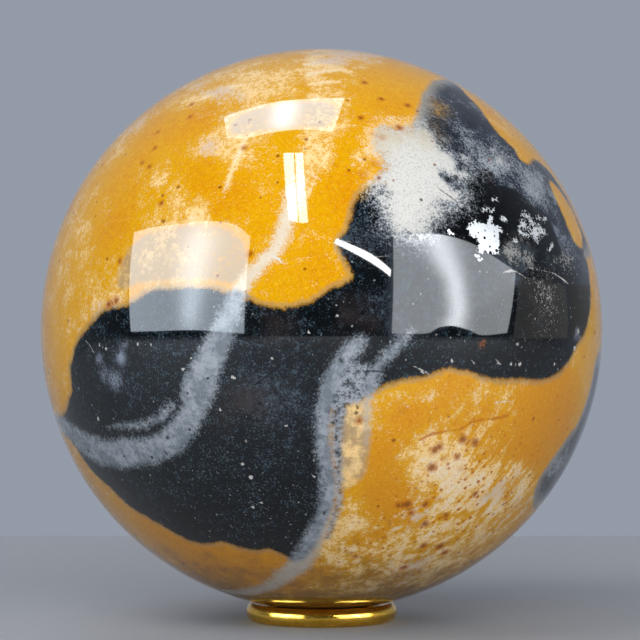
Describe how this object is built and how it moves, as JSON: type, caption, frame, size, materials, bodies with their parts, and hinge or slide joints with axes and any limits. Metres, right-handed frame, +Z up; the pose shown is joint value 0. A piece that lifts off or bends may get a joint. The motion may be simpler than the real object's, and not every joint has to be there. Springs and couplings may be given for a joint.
{
  "type": "decorative sphere",
  "caption": "Polished ball of orange, charcoal and white patterned stone, resting on a low round brass ring stand.",
  "frame": {"origin": "middle of the ring stand's flat underside, on the table", "axes": "+Z up through the ring's middle and the ball's centre; -Y faces the viewer, the side of the ball that the picture shows; +X to the viewer's right"},
  "size_m": [0.1, 0.1, 0.102],
  "materials": {
    "polished_stone": "polished",
    "polished_brass": "gloss"
  },
  "bodies": {
    "root": {"stone_ball": "polished_stone", "brass_ring_stand": "polished_brass"}
  },
  "joints": []
}
